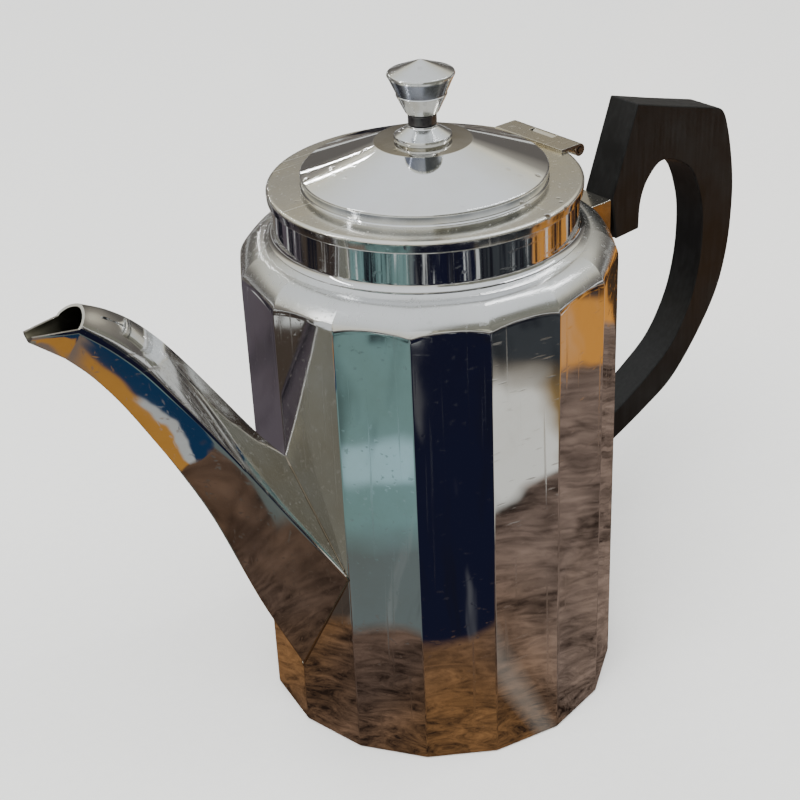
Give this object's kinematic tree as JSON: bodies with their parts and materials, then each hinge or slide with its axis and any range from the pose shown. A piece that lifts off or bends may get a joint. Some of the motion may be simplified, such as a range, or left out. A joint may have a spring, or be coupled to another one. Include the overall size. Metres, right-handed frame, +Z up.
{
  "type": "coffee pot",
  "caption": "Faceted metal coffee pot with a hinged stepped lid, turned finial, tapering angular spout and a dark D-shaped side handle.",
  "frame": {"origin": "centre of the flat underside of the base", "axes": "+Z up along the centre line, the spout along -X, the handle along +X"},
  "size_m": [0.2385, 0.103, 0.1876],
  "materials": {
    "silver": "polished silver plate, lightly scratched",
    "worn_silver": "silver plate with a thin warm tarnish and fine turning lines",
    "dark_metal": "dull, darkly tarnished",
    "ebonised_wood": "satin black"
  },
  "bodies": {
    "pot": {"body_shell": "silver", "base_plate": "silver", "collar_ring": "silver", "spout": "silver", "body_hinge_leaf": "silver", "hinge_pin": "dark_metal", "upper_socket": "silver", "upper_pin": "silver", "lower_socket": "silver", "lower_pin": "silver", "handle": "ebonised_wood"},
    "lid": {"lid_rim": "worn_silver", "lid_bezel": "worn_silver", "lid_dome": "worn_silver", "finial_base": "worn_silver", "finial_spacer": "dark_metal", "finial_knob": "worn_silver", "finial_stud": "dark_metal", "finial_nut": "dark_metal", "lid_hinge_leaf": "silver"}
  },
  "joints": [
    {"name": "lid_hinge", "type": "hinge", "parent": "pot", "child": "lid", "pos_m": [0.0445, 0, 0.1544], "axis": [0, 1, 0], "range_deg": [0, 105]}
  ]
}
